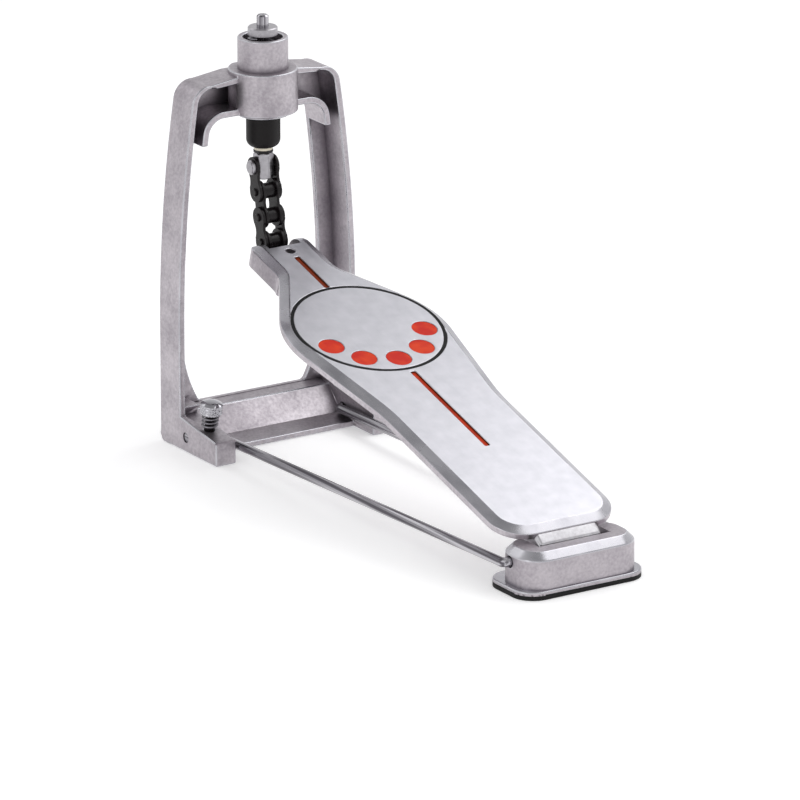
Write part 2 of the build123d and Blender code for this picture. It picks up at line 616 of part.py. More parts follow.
# ---------------------------------------------------------------- clevis at the toe
def chain_clevis():
    ty, tz = TOE_PIN
    inner = INNER_PLATE_X + CHAIN_PLATE_T + CLEVIS_GAP
    outer = inner + CLEVIS_EAR_T
    top = -TOE_BLOCK_T + CLEVIS_PLATE_T
    tail = TOE_END_Y - CLEVIS_LENGTH
    plate = box((-outer + 0.05, outer - 0.05), (tail + 0.05, TOE_END_Y), (-TOE_BLOCK_T, top))
    side = polygon((TOE_END_Y - 9, top), (TOE_END_Y, top), (ty + CLEVIS_EAR_R * 0.8, tz + CLEVIS_EAR_R * 0.6),
                   (ty, tz - CLEVIS_EAR_R), (TOE_END_Y - 9, -TOE_BLOCK_T))
    side += Pos(ty, tz) * Circle(CLEVIS_EAR_R)
    ear = slab_x(side, inner, outer - 0.05)
    body = plate + both_sides(ear)
    body -= box((-inner, inner), (TOE_END_Y - CLEVIS_NOTCH, LOBE_END_Y), (-TOE_BLOCK_T - 6, top + 1))
    body -= rod_x(CHAIN_PIN_D / 2, -20, 20, ty, tz)
    body -= rod_z(SET_SCREW_HOLE_D / 2, -TOE_BLOCK_T - 1, top + 1, 0, SET_SCREW_Y)
    return BOARD_FRAME * body


def clevis_set_screw():
    body = rod_z(SET_SCREW_HOLE_D / 2, -TOE_BLOCK_T + 0.4, -2.2, 0, SET_SCREW_Y)
    body -= Pos(0, SET_SCREW_Y, 0) * hex_prism(2.5, -4.4, -1)
    return BOARD_FRAME * body


def toe_pin():
    ty, tz = TOE_PIN
    half = INNER_PLATE_X + CHAIN_PLATE_T + CLEVIS_GAP + CLEVIS_EAR_T
    body = rod_x(CHAIN_PIN_D / 2, -half - 0.8, half + 0.8, ty, tz)
    return BOARD_FRAME * body


# ---------------------------------------------------------------- chain
def link_plate(height, x0, pin_a, pin_b, bore):
    """One waisted link plate between two pins, from x0 outwards."""
    r = height / 2
    mid = ((pin_a[0] + pin_b[0]) / 2, (pin_a[1] + pin_b[1]) / 2)
    length = hypot(pin_b[0] - pin_a[0], pin_b[1] - pin_a[1])
    lean = degrees(atan2(pin_b[1] - pin_a[1], pin_b[0] - pin_a[0]))
    waist = r * CHAIN_WAIST
    bite_r = (length / 2) ** 2 / (2 * (r - waist)) * 0.5
    face = Rectangle(length, 2 * r * 0.96)
    for s in (-1, 1):
        face += Pos(s * length / 2, 0) * Circle(r)
        face -= Pos(0, s * (waist + bite_r)) * Circle(bite_r)
    for s in (-1, 1):
        face -= Pos(s * length / 2, 0) * Circle(bore / 2)
    face = Pos(*mid) * Rot(0, 0, lean) * face
    return slab_x(face, x0, x0 + CHAIN_PLATE_T)


def link_plates(index):
    """Both plates of a link; even links are outer links, odd ones are inner links."""
    outer = index % 2 == 0
    a, b = PINS[index], PINS[index + 1]
    if outer:
        plate = link_plate(OUTER_PLATE_H, OUTER_PLATE_X, a, b, CHAIN_PIN_D)
    else:
        plate = link_plate(INNER_PLATE_H, INNER_PLATE_X, a, b, CHAIN_BUSH_D)
    return Compound([plate, mirrored(plate)])


def link_bushes(index):
    bushes = []
    half = INNER_PLATE_X + CHAIN_PLATE_T
    for k in (index, index + 1):
        y, z = PINS[k]
        gap = OPEN_PIVOT_GAP if k == len(PINS) - 1 else CHAIN_FIT
        bush = rod_x(CHAIN_BUSH_D / 2, -half, half, y, z)
        bushes.append(bush - rod_x(CHAIN_PIN_D / 2 + gap, -half - 1, half + 1, y, z))
    return Compound(bushes)


def chain_pin(k):
    y, z = PINS[k]
    pin = rod_x(CHAIN_PIN_D / 2, -CHAIN_PIN_HALF, CHAIN_PIN_HALF, y, z)
    return chamfer(pin.edges().filter_by(GeomType.CIRCLE), 0.4)


def chain_roller(k):
    y, z = PINS[k]
    roller = rod_x(ROLLER_D / 2, -ROLLER_HALF, ROLLER_HALF, y, z)
    return roller - rod_x(CHAIN_BUSH_D / 2 + CHAIN_FIT, -ROLLER_HALF - 1, ROLLER_HALF + 1, y, z)


# ---------------------------------------------------------------- pull rod
def pull_rod():
    body = rod_z(ROD_MAIN_D / 2, COUPLING_TOP_Z, ROD_TOP_Z)
    top = body.edges().filter_by(GeomType.CIRCLE).sort_by(Axis.Z)[-1]
    body = chamfer(top, 0.7)
    return body + rod_z(2.2, TOP_PIN_Z + 3.5, COUPLING_TOP_Z + 1)


def rod_coupling():
    body = hex_prism(COUPLING_AF, TOP_PIN_Z - COUPLING_BOTTOM, COUPLING_TOP_Z)
    dome = Pos(0, 0, TOP_PIN_Z - COUPLING_BOTTOM - 0.3) * extrude(
        Circle(COUPLING_AF * 0.56), amount=COUPLING_BOTTOM + COUPLING_TOP + 0.3)
    ends = dome.edges().filter_by(GeomType.CIRCLE)
    body &= chamfer(ends, 0.9)
    body -= rod_x(CHAIN_PIN_D / 2, -9, 9, 0, TOP_PIN_Z)
    return body - rod_z(2.2, TOP_PIN_Z + 3.5, COUPLING_TOP_Z + 1)


def coupling_pin():
    """Clevis pin with a button head on the left."""
    head_x = OUTER_PLATE_X + CHAIN_PLATE_T + 0.1
    pin = rod_x(CHAIN_PIN_D / 2, -head_x, CHAIN_PIN_HALF + 0.6, 0, TOP_PIN_Z)
    head = rod_x(BUTTON_D / 2, -head_x - BUTTON_H, -head_x, 0, TOP_PIN_Z)
    edge = head.edges().filter_by(GeomType.CIRCLE).sort_by(Axis.X)[0]
    return pin + fillet(edge, 1.3)


def coupling_pin_clip():
    x = OUTER_PLATE_X + CHAIN_PLATE_T + 0.1
    ring = rod_x(3.4, x, x + 0.7, 0, TOP_PIN_Z)
    return ring - rod_x(CHAIN_PIN_D / 2, x - 1, x + 2, 0, TOP_PIN_Z)


def ring_on_rod(diameter, z0, z1):
    return rod_z(diameter / 2, z0, z1) - rod_z(ROD_MAIN_D / 2, z0 - 1, z1 + 1)


def lock_nut():
    return hex_prism(LOCK_NUT_AF, COUPLING_TOP_Z, COUPLING_TOP_Z + LOCK_NUT_T) \
        - rod_z(ROD_MAIN_D / 2, COUPLING_TOP_Z - 1, COUPLING_TOP_Z + LOCK_NUT_T + 1)


def rod_washer():
    z0 = COUPLING_TOP_Z + LOCK_NUT_T
    return ring_on_rod(WASHER_D, z0, z0 + WASHER_T)


def rod_bumper():
    body = rod_z(BUMPER_D / 2, BUMPER_BOTTOM_Z, HUB_BOTTOM_Z - BUMPER_GAP)
    low = body.edges().filter_by(GeomType.CIRCLE).sort_by(Axis.Z)[0]
    body = fillet(low, BUMPER_LIP)
    high = body.edges().filter_by(GeomType.CIRCLE).sort_by(Axis.Z)[-1]
    body = fillet(high, 1.0)
    return body - rod_z(ROD_MAIN_D / 2, BUMPER_BOTTOM_Z - 1, HUB_BOTTOM_Z + 1)


def spring_nut():
    nut = ring_on_rod(SPRING_NUT_D, SPRING_TOP_Z, SPRING_TOP_Z + SPRING_NUT_T)
    rims = nut.edges().filter_by(GeomType.CIRCLE).filter_by(lambda e: e.radius > SPRING_NUT_D / 2 - 0.1)
    return chamfer(rims, 0.5)


def guide_bush():
    body = rod_z(GUIDE_BUSH_D / 2, HUB_BOTTOM_Z, CAVITY_FLOOR_Z)
    body += rod_z(GUIDE_FLANGE_D / 2, CAVITY_FLOOR_Z, SPRING_SEAT_Z)
    return body - rod_z(ROD_MAIN_D / 2 + GUIDE_FIT, HUB_BOTTOM_Z - 1, SPRING_SEAT_Z + 1)


def return_spring():
    radius = (RETURN_SPRING_D - RETURN_SPRING_WIRE) / 2
    return coil(radius, RETURN_SPRING_WIRE, RETURN_SPRING_LENGTH - 0.1, RETURN_SPRING_TURNS, SPRING_SEAT_Z + 0.05)


# ---------------------------------------------------------------- the assembly
def nodes():
    """Every sub-part by name."""
    made = {
        "frame_casting": frame_casting(),
        "guide_bush": guide_bush(),
        "return_spring": return_spring(),
        "heel_casting": heel_casting(),
        "heel_rubber_pad": heel_rubber_pad(),
        "heel_pad_screws": heel_pad_screws(),
        "heel_hinge_pin": heel_hinge_pin(),
        "heel_spacers": heel_spacers(),
        "footboard": footboard(),
        "ring_inlay": ring_inlay(),
        "dot_inlays": dot_inlays(),
        "stripe_inlays": stripe_inlays(),
        "hinge_lug": hinge_lug(),
        "hinge_lug_screws": hinge_lug_screws(),
        "hinge_bushes": hinge_bushes(),
        "chain_clevis": chain_clevis(),
        "clevis_set_screw": clevis_set_screw(),
        "toe_pin": toe_pin(),
        "pull_rod": pull_rod(),
        "rod_coupling": rod_coupling(),
        "coupling_pin": coupling_pin(),
        "coupling_pin_clip": coupling_pin_clip(),
        "lock_nut": lock_nut(),
        "rod_washer": rod_washer(),
        "rod_bumper": rod_bumper(),
        "spring_nut": spring_nut(),
    }
    for name, side in (("left", -1), ("right", 1)):
        made[f"radius_rod_{name}"] = radius_rod(side)
        made[f"spur_screw_{name}"] = spur_screw(side)
        made[f"spur_spring_{name}"] = spur_spring(side)
    for index in range(len(LINK_LEAN)):
        made[f"chain_link_{index + 1}_plates"] = link_plates(index)
    for index in (1, 3):
        made[f"chain_link_{index + 1}_bushes"] = link_bushes(index)
    made["chain_link_1_pin"] = chain_pin(1)
    made["chain_link_3_pins"] = Compound([chain_pin(2), chain_pin(3)])
    for k in range(1, len(PINS)):
        made[f"chain_roller_{k}"] = chain_roller(k)
    return made


def main():
    os.makedirs("parts", exist_ok=True)
    for name, shape in nodes().items():
        export_step(shape, f"parts/{name}.step")


if __name__ == "__main__":
    main()
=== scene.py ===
import json
from math import cos, pi, radians, sin

import bmesh
import bpy
from mathutils import Matrix, Vector
from mathutils.bvhtree import BVHTree


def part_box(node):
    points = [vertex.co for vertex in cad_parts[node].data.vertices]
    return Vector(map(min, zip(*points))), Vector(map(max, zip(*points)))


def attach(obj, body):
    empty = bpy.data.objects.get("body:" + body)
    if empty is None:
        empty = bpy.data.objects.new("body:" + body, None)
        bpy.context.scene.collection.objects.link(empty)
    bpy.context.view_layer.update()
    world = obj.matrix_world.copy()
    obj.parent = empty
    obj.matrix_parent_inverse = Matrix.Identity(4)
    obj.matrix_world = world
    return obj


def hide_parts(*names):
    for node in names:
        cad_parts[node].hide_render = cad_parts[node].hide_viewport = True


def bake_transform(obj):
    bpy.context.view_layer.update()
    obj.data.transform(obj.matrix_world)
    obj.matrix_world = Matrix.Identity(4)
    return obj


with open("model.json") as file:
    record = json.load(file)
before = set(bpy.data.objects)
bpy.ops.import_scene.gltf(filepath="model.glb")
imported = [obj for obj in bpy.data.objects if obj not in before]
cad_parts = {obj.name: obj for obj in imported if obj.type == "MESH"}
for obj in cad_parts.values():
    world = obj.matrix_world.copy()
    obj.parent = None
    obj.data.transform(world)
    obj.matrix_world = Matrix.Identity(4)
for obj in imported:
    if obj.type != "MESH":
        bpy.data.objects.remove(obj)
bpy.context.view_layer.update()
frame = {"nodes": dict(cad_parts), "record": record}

MM = 0.001
NODES = frame["nodes"]
BODY_OF = {name: body for body, names in frame["record"]["behaviour"]["bodies"].items()
           for name in names}


# ------------------------------------------------------------------ node helpers
def colour(hex_value):
    """A linear RGBA colour from an sRGB hex value."""
    parts = [int(hex_value[i:i + 2], 16) / 255 for i in (0, 2, 4)]
    return (*[p / 12.92 if p <= 0.04045 else ((p + 0.055) / 1.055) ** 2.4 for p in parts], 1.0)


def grey(value):
    """A linear grey, for a ramp that gives a plain number."""
    return (value, value, value, 1.0)


def finish(name, tint, metallic=0.0, roughness=0.5, **sockets):
    """A new material with its shader's inputs set; an underscore stands for a space."""
    material = bpy.data.materials.new(name)
    material.use_nodes = True
    shader = material.node_tree.nodes["Principled BSDF"]
    shader.inputs["Base Color"].default_value = colour(tint)
    shader.inputs["Metallic"].default_value = metallic
    shader.inputs["Roughness"].default_value = roughness
    for socket, value in sockets.items():
        shader.inputs[socket.replace("_", " ")].default_value = value
    return material


def node(owner, kind, links=None, out=0, stops=(), **settings):
    """Add one node to a material or world, with its settings, its inputs set or linked, and
    the stops of a ramp. Returns one of its outputs."""
    made = owner.node_tree.nodes.new(kind)
    for key, value in settings.items():
        setattr(made, key, value)
    for socket, value in (links or {}).items():
        if isinstance(value, bpy.types.NodeSocket):
            owner.node_tree.links.new(value, made.inputs[socket])
        else:
            made.inputs[socket].default_value = value
    if stops:
        elements = made.color_ramp.elements
        while len(elements) < len(stops):
            elements.new(0.5)
        for element, (position, tint) in zip(elements, stops):
            element.position = position
            element.color = tint if isinstance(tint, tuple) else colour(tint)
    return made.outputs[out]


def drive(material, **outputs):
    """Link outputs to the material's shader; an underscore stands for a space."""
    shader = material.node_tree.nodes["Principled BSDF"]
    for socket, output in outputs.items():
        material.node_tree.links.new(output, shader.inputs[socket.replace("_", " ")])


def coordinates(material, scale=(1, 1, 1), turn=(0, 0, 0)):
    """Object coordinates, turned and then scaled."""
    plain = node(material, "ShaderNodeTexCoord", out="Object")
    turned = node(material, "ShaderNodeMapping", {"Vector": plain, "Rotation": turn})
    return node(material, "ShaderNodeMapping", {"Vector": turned, "Scale": scale})


# ------------------------------------------------------------------ camera, floor, light
AZIMUTH = radians(-32.8)
ELEVATION = radians(18.0)
SIGHT_RIGHT = Vector((cos(AZIMUTH), sin(AZIMUTH), 0))
SIGHT_UP = Vector((-sin(AZIMUTH) * sin(ELEVATION), cos(AZIMUTH) * sin(ELEVATION), cos(ELEVATION)))
SIGHT_BACK = Vector((sin(AZIMUTH) * cos(ELEVATION), -cos(AZIMUTH) * cos(ELEVATION),
                     sin(ELEVATION)))
DISTANCE = 4.0                          # far off with a long lens, so nearly parallel
LENS = 356.4                            # mm
SENSOR = 36.0                           # mm
AIM_RIGHT, AIM_UP = 0.06825, 0.01488    # the middle of the view, seen from the origin

LIT_POINT = (0, -0.12, 0.08)
SOFTBOXES = {                           # place and size in m, power in W
    "front right softbox": ((0.62, -0.52, 1.15), (0.9, 0.7), 2.9),
    "rear right softbox": ((0.56, 0.06, 0.74), (0.45, 0.5), 1.3),
    "rear left softbox": ((-0.40, 0.60, 0.85), (0.45, 0.45), 0.55),
    "left softbox": ((-1.3, -0.5, 0.7), (0.5, 1.0), 1.6),
}
# brightness of the walls and ceiling, by the sine of the height above the horizon
SKY = [(0.0, 0.92), (0.30, 0.95), (0.60, 0.74), (0.85, 0.52), (1.0, 0.42)]
SKY_BLUE = 1.01                         # blue over red and green in the sky
FLOOR_GLOW = 0.32                       # keeps the floor near white where the lights fall off
FLOOR_SIZE = 8
FLOOR_GAP = 0.2 * MM                    # below the part's underside


def set_camera():
    camera = bpy.data.objects.new("camera", bpy.data.cameras.new("camera"))
    camera.data.lens = LENS
    camera.data.sensor_width = SENSOR
    camera.data.clip_end = 5 * DISTANCE
    aim = Matrix((SIGHT_RIGHT, SIGHT_UP, SIGHT_BACK)).transposed().to_4x4()
    aim.translation = AIM_RIGHT * SIGHT_RIGHT + AIM_UP * SIGHT_UP + DISTANCE * SIGHT_BACK
    camera.matrix_world = aim
    bpy.context.scene.collection.objects.link(camera)
    bpy.context.scene.camera = camera


def area_light(name, position, size, power):
    """A white softbox that faces the part."""
    lamp = bpy.data.lights.new(name, "AREA")
    lamp.shape = "RECTANGLE"
    lamp.size, lamp.size_y = size
    lamp.energy = power
    box = bpy.data.objects.new(name, lamp)
    box.location = position
    box.rotation_euler = (Vector(position) - Vector(LIT_POINT)).to_track_quat("Z", "Y").to_euler()
    bpy.context.scene.collection.objects.link(box)


def set_studio():
    """Pale floor, light grey walls that darken overhead, and four softboxes."""
    bpy.context.scene.view_settings.view_transform = "Standard"
    world = bpy.data.worlds.new("studio")
    bpy.context.scene.world = world
    world.use_nodes = True
    direction = node(world, "ShaderNodeTexCoord", out="Generated")
    height = node(world, "ShaderNodeSeparateXYZ", {"Vector": direction}, out="Z")
    sky = node(world, "ShaderNodeValToRGB", {"Fac": height},
               stops=[(sine, (level, level, level * SKY_BLUE, 1.0)) for sine, level in SKY])
    background = world.node_tree.nodes["Background"]
    world.node_tree.links.new(sky, background.inputs["Color"])
    background.inputs["Strength"].default_value = 1.0
    for name, (position, size, power) in SOFTBOXES.items():
        area_light(name, position, size, power)
    bpy.ops.object.select_all(action="DESELECT")
    bpy.ops.mesh.primitive_plane_add(size=FLOOR_SIZE, location=(0, 0, -FLOOR_GAP))
    floor = bpy.context.object
    floor.name = "studio_floor"
    floor.data.materials.append(finish("pale studio floor", "f4f4f4", roughness=0.9,
                                       Emission_Color=colour("ffffff"),
                                       Emission_Strength=FLOOR_GLOW))


# ------------------------------------------------------------------ materials
# A noise scale is in cells per metre: 1000 / the size of the pattern in mm.
BOARD_SLOPE = radians(16.3)
BRUSH_TURN = (-BOARD_SLOPE, 0, 0)       # lays the brushing along the sloping board


def tumbled_casting(name, light, dark, corner_shade, shade_reach):
    """Vibratory-tumbled die-cast aluminium: satin, in clouds of 14 mm with a pebble grain of
    1.6 mm, and painted shade that darkens its corners, out to the given reach in mm."""
    material = finish(name, light, metallic=1.0, roughness=0.42)
    clouds = node(material, "ShaderNodeTexNoise",
                  {"Vector": coordinates(material), "Scale": 70.0, "Detail": 3.0})
    pebbles = node(material, "ShaderNodeTexNoise",
                   {"Vector": coordinates(material), "Scale": 620.0, "Detail": 3.0,
                    "Roughness": 0.6})
    tone = node(material, "ShaderNodeMix", {"Factor": 0.55, "A": clouds, "B": pebbles})
    cast = node(material, "ShaderNodeValToRGB", {"Fac": tone}, stops=[(0.36, dark), (0.64, light)])
    # painted shade: ambient occlusion mixes the darkest colour into corners and recesses
    occlusion = node(material, "ShaderNodeAmbientOcclusion", {"Distance": shade_reach * MM}, out="AO",
                   samples=8, only_local=True)
    shade_mask = node(material, "ShaderNodeValToRGB", {"Fac": occlusion},
                   stops=[(0.35, grey(1.0)), (0.85, grey(0.0))])
    shaded_cast = node(material, "ShaderNodeMix", {0: shade_mask, 6: cast, 7: colour(corner_shade)}, out=2,
                  data_type="RGBA")
    sheen = node(material, "ShaderNodeValToRGB", {"Fac": tone},
                 stops=[(0.3, grey(0.47)), (0.7, grey(0.34))])
    relief = node(material, "ShaderNodeBump",
                  {"Height": pebbles, "Strength": 0.35, "Distance": 0.12 * MM})
    drive(material, Base_Color=shaded_cast, Roughness=sheen, Normal=relief)
    return material


def brushed_board():
    """Aluminium brushed along its length: scratches 0.4 mm apart and 13 mm long with finer ones
    between, coarser than a 180 grit belt leaves them so that they show, over clouds of 7 mm."""
    material = finish("brushed cast aluminium", "cfcfd3", metallic=1.0, roughness=0.38)
    fine = node(material, "ShaderNodeTexNoise",
                {"Vector": coordinates(material, (2600.0, 75.0, 200.0), BRUSH_TURN),
                 "Scale": 1.0, "Detail": 3.0, "Roughness": 0.6})
    broad = node(material, "ShaderNodeTexNoise",
                 {"Vector": coordinates(material, (420.0, 16.0, 60.0), BRUSH_TURN),
                  "Scale": 1.0, "Detail": 2.0})
    scratches = node(material, "ShaderNodeMix", {"Factor": 0.3, "A": fine, "B": broad})
    clouds = node(material, "ShaderNodeTexNoise",
                  {"Vector": coordinates(material), "Scale": 150.0, "Detail": 4.0})
    tone = node(material, "ShaderNodeMix", {"Factor": 0.6, "A": scratches, "B": clouds})
    tint = node(material, "ShaderNodeValToRGB", {"Fac": tone},
                stops=[(0.30, "bdbdc3"), (0.70, "cecdd3")])
    sheen = node(material, "ShaderNodeValToRGB", {"Fac": scratches},
                 stops=[(0.25, grey(0.32)), (0.75, grey(0.43))])
    relief = node(material, "ShaderNodeBump",
                  {"Height": fine, "Strength": 0.1, "Distance": 0.06 * MM})
    drive(material, Base_Color=tint, Roughness=sheen, Normal=relief)
    return material


def hazed_metal(name, tint, roughness, scale, detail, sheen, tints=()):
    """Smooth bright metal: a noise varies its sheen and, given stops for it, its tint."""
    material = finish(name, tint, metallic=1.0, roughness=roughness)
    haze = node(material, "ShaderNodeTexNoise",
                {"Vector": coordinates(material, scale), "Scale": 1.0, "Detail": detail})
    drive(material, Roughness=node(material, "ShaderNodeValToRGB", {"Fac": haze},
                                   stops=[(position, grey(value)) for position, value in sheen]))
    if tints:
        drive(material, Base_Color=node(material, "ShaderNodeValToRGB", {"Fac": haze},
                                        stops=tints))
    return material


def polished_bevel():
    """Bevels cut and polished after casting: bright, with a faint haze in streaks of 40 mm."""
    return hazed_metal("polished aluminium bevel", "c2c1c6", 0.2, (90.0, 25.0, 90.0), 3.0,
                       [(0.3, 0.20), (0.7, 0.32)], [(0.3, "a7a6ac"), (0.7, "c5c4c9")])


def rod_with_painted_streaks(name, grain):
    """Plated steel rod: dark and bright streaks along it, 2 mm apart: drawing lines, coarser
    than real ones, which are too fine to show, and a painted reflection of a darker studio."""
    # painted reflection: the dark and bright tint stops stand in for a studio reflected along the
    # rod
    return hazed_metal(name, "98969c", 0.2, grain, 2.0, [(0.3, 0.17), (0.7, 0.26)],
                       [(0.40, "59565c"), (0.50, "8f8d92"), (0.60, "c4c2c7")])


def chrome_plate():
    """Bright chrome over knurled steel: near mirror, with a faint haze over some 5 mm."""
    return hazed_metal("chrome plate", "b2b1b6", 0.1, (220.0, 220.0, 220.0), 2.0,
                       [(0.35, 0.07), (0.7, 0.17)])


def satin_plate(name, light, dark):
    """Machined or drawn steel with satin plating: even, with a haze of 2 mm."""
    return hazed_metal(name, light, 0.3, (500.0, 500.0, 500.0), 2.0, [(0.3, 0.27), (0.7, 0.34)],
                       [(0.3, dark), (0.7, light)])


def black_oxide():
    """Chain steel, blackened and oiled: a black film with a sheen broken up over 3 mm."""
    material = finish("black oxide chain steel", "120c0f", roughness=0.3, Specular_IOR_Level=0.24)
    film = node(material, "ShaderNodeTexNoise",
                {"Vector": coordinates(material), "Scale": 380.0, "Detail": 4.0})
    tint = node(material, "ShaderNodeValToRGB", {"Fac": film},
                stops=[(0.3, "0e0a0c"), (0.7, "1c1719")])
    sheen = node(material, "ShaderNodeValToRGB", {"Fac": film},
                 stops=[(0.3, grey(0.22)), (0.7, grey(0.42))])
    relief = node(material, "ShaderNodeBump",
                  {"Height": film, "Strength": 0.15, "Distance": 0.08 * MM})
    drive(material, Base_Color=tint, Roughness=sheen, Normal=relief)
    return material


def moulded(name, tint, roughness):
    """Moulded rubber or plastic: dull, with a matt grain of 0.7 mm."""
    material = finish(name, tint, roughness=roughness, Specular_IOR_Level=0.25)
    grain = node(material, "ShaderNodeTexNoise",
                 {"Vector": coordinates(material), "Scale": 1400.0, "Detail": 3.0})
    sheen = node(material, "ShaderNodeValToRGB", {"Fac": grain},
                 stops=[(0.3, grey(roughness - 0.06)), (0.7, grey(roughness + 0.08))])
    relief = node(material, "ShaderNodeBump",
                  {"Height": grain, "Strength": 0.3, "Distance": 0.06 * MM})
    drive(material, Roughness=sheen, Normal=relief)
    return material


def enamel_fill(name, light, dark, roughness, spread):
    """Enamel paint run into a recess: smooth, pooled lighter and darker over 3 to 11 mm."""
    material = finish(name, light, roughness=roughness, Specular_IOR_Level=0.15)
    pool = node(material, "ShaderNodeTexNoise",
                {"Vector": coordinates(material), "Scale": spread, "Detail": 2.0})
    tint = node(material, "ShaderNodeValToRGB", {"Fac": pool}, stops=[(0.38, dark), (0.62, light)])
    relief = node(material, "ShaderNodeBump",
                  {"Height": pool, "Strength": 0.1, "Distance": 0.1 * MM})
    drive(material, Base_Color=tint, Normal=relief)
    return material


def stripe_paint():
    """Brick-red enamel, darker and browner in the short stripe by the toe with painted shade."""
    material = enamel_fill("brick-red enamel", "d03a12", "b02e0e", 0.5, 90.0)
    shader = material.node_tree.nodes["Principled BSDF"]
    red = shader.inputs["Base Color"].links[0].from_socket
    # painted shade: mixes in dark brown from y = -120 mm to -70 mm, toward the toe
    along = node(material, "ShaderNodeSeparateXYZ", {"Vector": coordinates(material)}, out="Y")
    toe_shade_amount = node(material, "ShaderNodeMapRange",
                    {"Value": along, "From Min": -120 * MM, "From Max": -70 * MM})
    drive(material, Base_Color=node(material, "ShaderNodeMix",
                                    {0: toe_shade_amount, 6: red, 7: colour("84300f")}, out=2,
                                    data_type="RGBA"))
    return material


def make_finishes():
    return {
        # for each casting, the third colour is its painted corner shade and the number is how far
        # that shade reaches in mm
        "casting": tumbled_casting("tumbled die-cast aluminium", "beb8bd", "a19ba1", "7c767d", 8),
        "rim": tumbled_casting("die-cast aluminium rim", "cdc7cc", "b0aab0", "8a858b", 4),
        "heel": tumbled_casting("satin die-cast aluminium", "b9b3b8", "a09aa0", "77727a", 6),
        "lug": tumbled_casting("grit-blasted cast aluminium", "cccbce", "b8b6ba", "9f9da2", 5),
        "board": brushed_board(),
        "polish": polished_bevel(),
        "rod": rod_with_painted_streaks("zinc-plated steel rod", (520.0, 5.0, 520.0)),
        "shaft": rod_with_painted_streaks("zinc-plated steel pull rod", (520.0, 520.0, 5.0)),
        "chrome": chrome_plate(),
        "nickel": satin_plate("satin nickel plate", "adabaf", "9b999d"),
        "wire": satin_plate("zinc-plated spring wire", "88868b", "77757a"),
        "chain": black_oxide(),
        "rubber": moulded("black nitrile rubber", "0e0c0d", 0.6),
        "bumper": moulded("black moulded rubber", "0b0708", 0.5),
        "plastic": moulded("black acetal", "141416", 0.4),
        "cream": moulded("natural nylon", "e0d9c6", 0.45),
        "dots": enamel_fill("orange-red enamel", "dd3a06", "cb1c04", 0.4, 110.0),
        "stripes": stripe_paint(),
        "groove": enamel_fill("thin brown enamel", "6e2c10", "48200e", 0.5, 300.0),
        "ring": enamel_fill("black enamel", "0a090b", "060507", 0.5, 300.0),
    }


# the finish of each CAD node; the nodes not named here are of chain steel
DRESS = {
    "frame_casting": "casting", "guide_bush": "plastic", "return_spring": "wire",
    "radius_rod_left": "rod", "radius_rod_right": "rod", "heel_casting": "heel",
    "heel_rubber_pad": "rubber", "heel_pad_screws": "nickel", "heel_hinge_pin": "nickel",
    "heel_spacers": "plastic", "footboard": "board", "ring_inlay": "ring", "dot_inlays": "dots",
    "stripe_inlays": "stripes", "hinge_lug": "lug", "hinge_bushes": "plastic",
    "chain_clevis": "nickel", "toe_pin": "nickel", "pull_rod": "shaft", "rod_coupling": "nickel",
    "coupling_pin": "nickel", "rod_washer": "cream", "rod_bumper": "bumper",
    "spring_nut": "nickel", "spur_screw_left": "chrome", "spur_screw_right": "chrome",
    "spur_spring_left": "wire", "spur_spring_right": "wire",
}


def dress_nodes(finishes):
    for name, obj in NODES.items():
        obj.data.materials.clear()
        obj.data.materials.append(finishes[DRESS.get(name, "chain")])


# ------------------------------------------------------------------ pieces with rounded edges
WELD = 0.002 * MM
BEVEL_SEGMENTS = 3
FLAT_PULL = 60                  # how strongly the large faces bend the normals to their own
BEVEL_REACH = 0.6               # in bevel widths: a vertex farther off the CAD has overshot
CROWDED_TURN = radians(60)      # an edge this sharp is rounded only where the bevel has room
SOFT_EDGES = {  # width of the rounded edge in mm, the finish it is rubbed to, least angle rounded
    "frame_casting": (0.7, "polish", 32), "heel_casting": (0.5, "polish", 32),
    "footboard": (0.4, "polish", 20), "hinge_lug": (0.6, "lug", 32),
    "rod_coupling": (0.25, "nickel", 20), "chain_clevis": (0.4, "nickel", 32),
    **{f"chain_link_{number}_plates": (0.22, "chain", 32) for number in (1, 2, 3, 4)},
}

# how far up a face's normal points, which tells flats, bevels and walls apart
BOARD_BEVEL = (0.3, 0.97)
RECESS_WALL = 0.35
HEEL_BEVEL = (0.3, 0.95)
FLANGE_TOP = 0.05

PAINT_CREEP = 1.15 * MM         # how far paint creeps up from an inlay
HEEL_CHAMFER = 4.2 * MM         # the chamfer lies within this of the top
HEEL_FLANGE = 2.3 * MM          # and the flange within this of the bottom


def only(obj):
    """Make obj the one selected and active object."""
    bpy.ops.object.select_all(action="DESELECT")
    obj.select_set(True)
    bpy.context.view_layer.objects.active = obj


def apply_modifier(obj, kind, **settings):
    only(obj)
    modifier = obj.modifiers.new(kind.lower(), kind)
    for key, value in settings.items():
        setattr(modifier, key, value)
    bpy.ops.object.modifier_apply(modifier=modifier.name)


def merged_copy(node_name, piece_name):
    """A piece with the CAD node's shape, its triangles welded; it is left selected and active."""
    piece = bpy.data.objects.new(piece_name, NODES[node_name].data.copy())
    bpy.context.scene.collection.objects.link(piece)
    only(piece)
    bpy.ops.object.mode_set(mode="EDIT")
    bpy.ops.mesh.select_all(action="SELECT")
    bpy.ops.mesh.remove_doubles(threshold=WELD)
    bpy.ops.object.mode_set(mode="OBJECT")
    return piece


def mark_edges(mesh, width, angle):
    """Weight the outward edges that a bevel will round, and keep the inward ones sharp."""
    weight = mesh.edges.layers.float.new("bevel_weight_edge")
    for face in mesh.faces:
        face.smooth = True
    for edge in mesh.edges:
        turn = edge.calc_face_angle_signed(0.0) if edge.is_manifold else -pi
        length = max(edge.calc_length(), WELD)
        room = min(2 * face.calc_area() / length for face in edge.link_faces)
        if turn > angle and (room > width or turn < CROWDED_TURN):
            edge[weight] = 1.0
        elif turn < -angle:
            edge.smooth = False


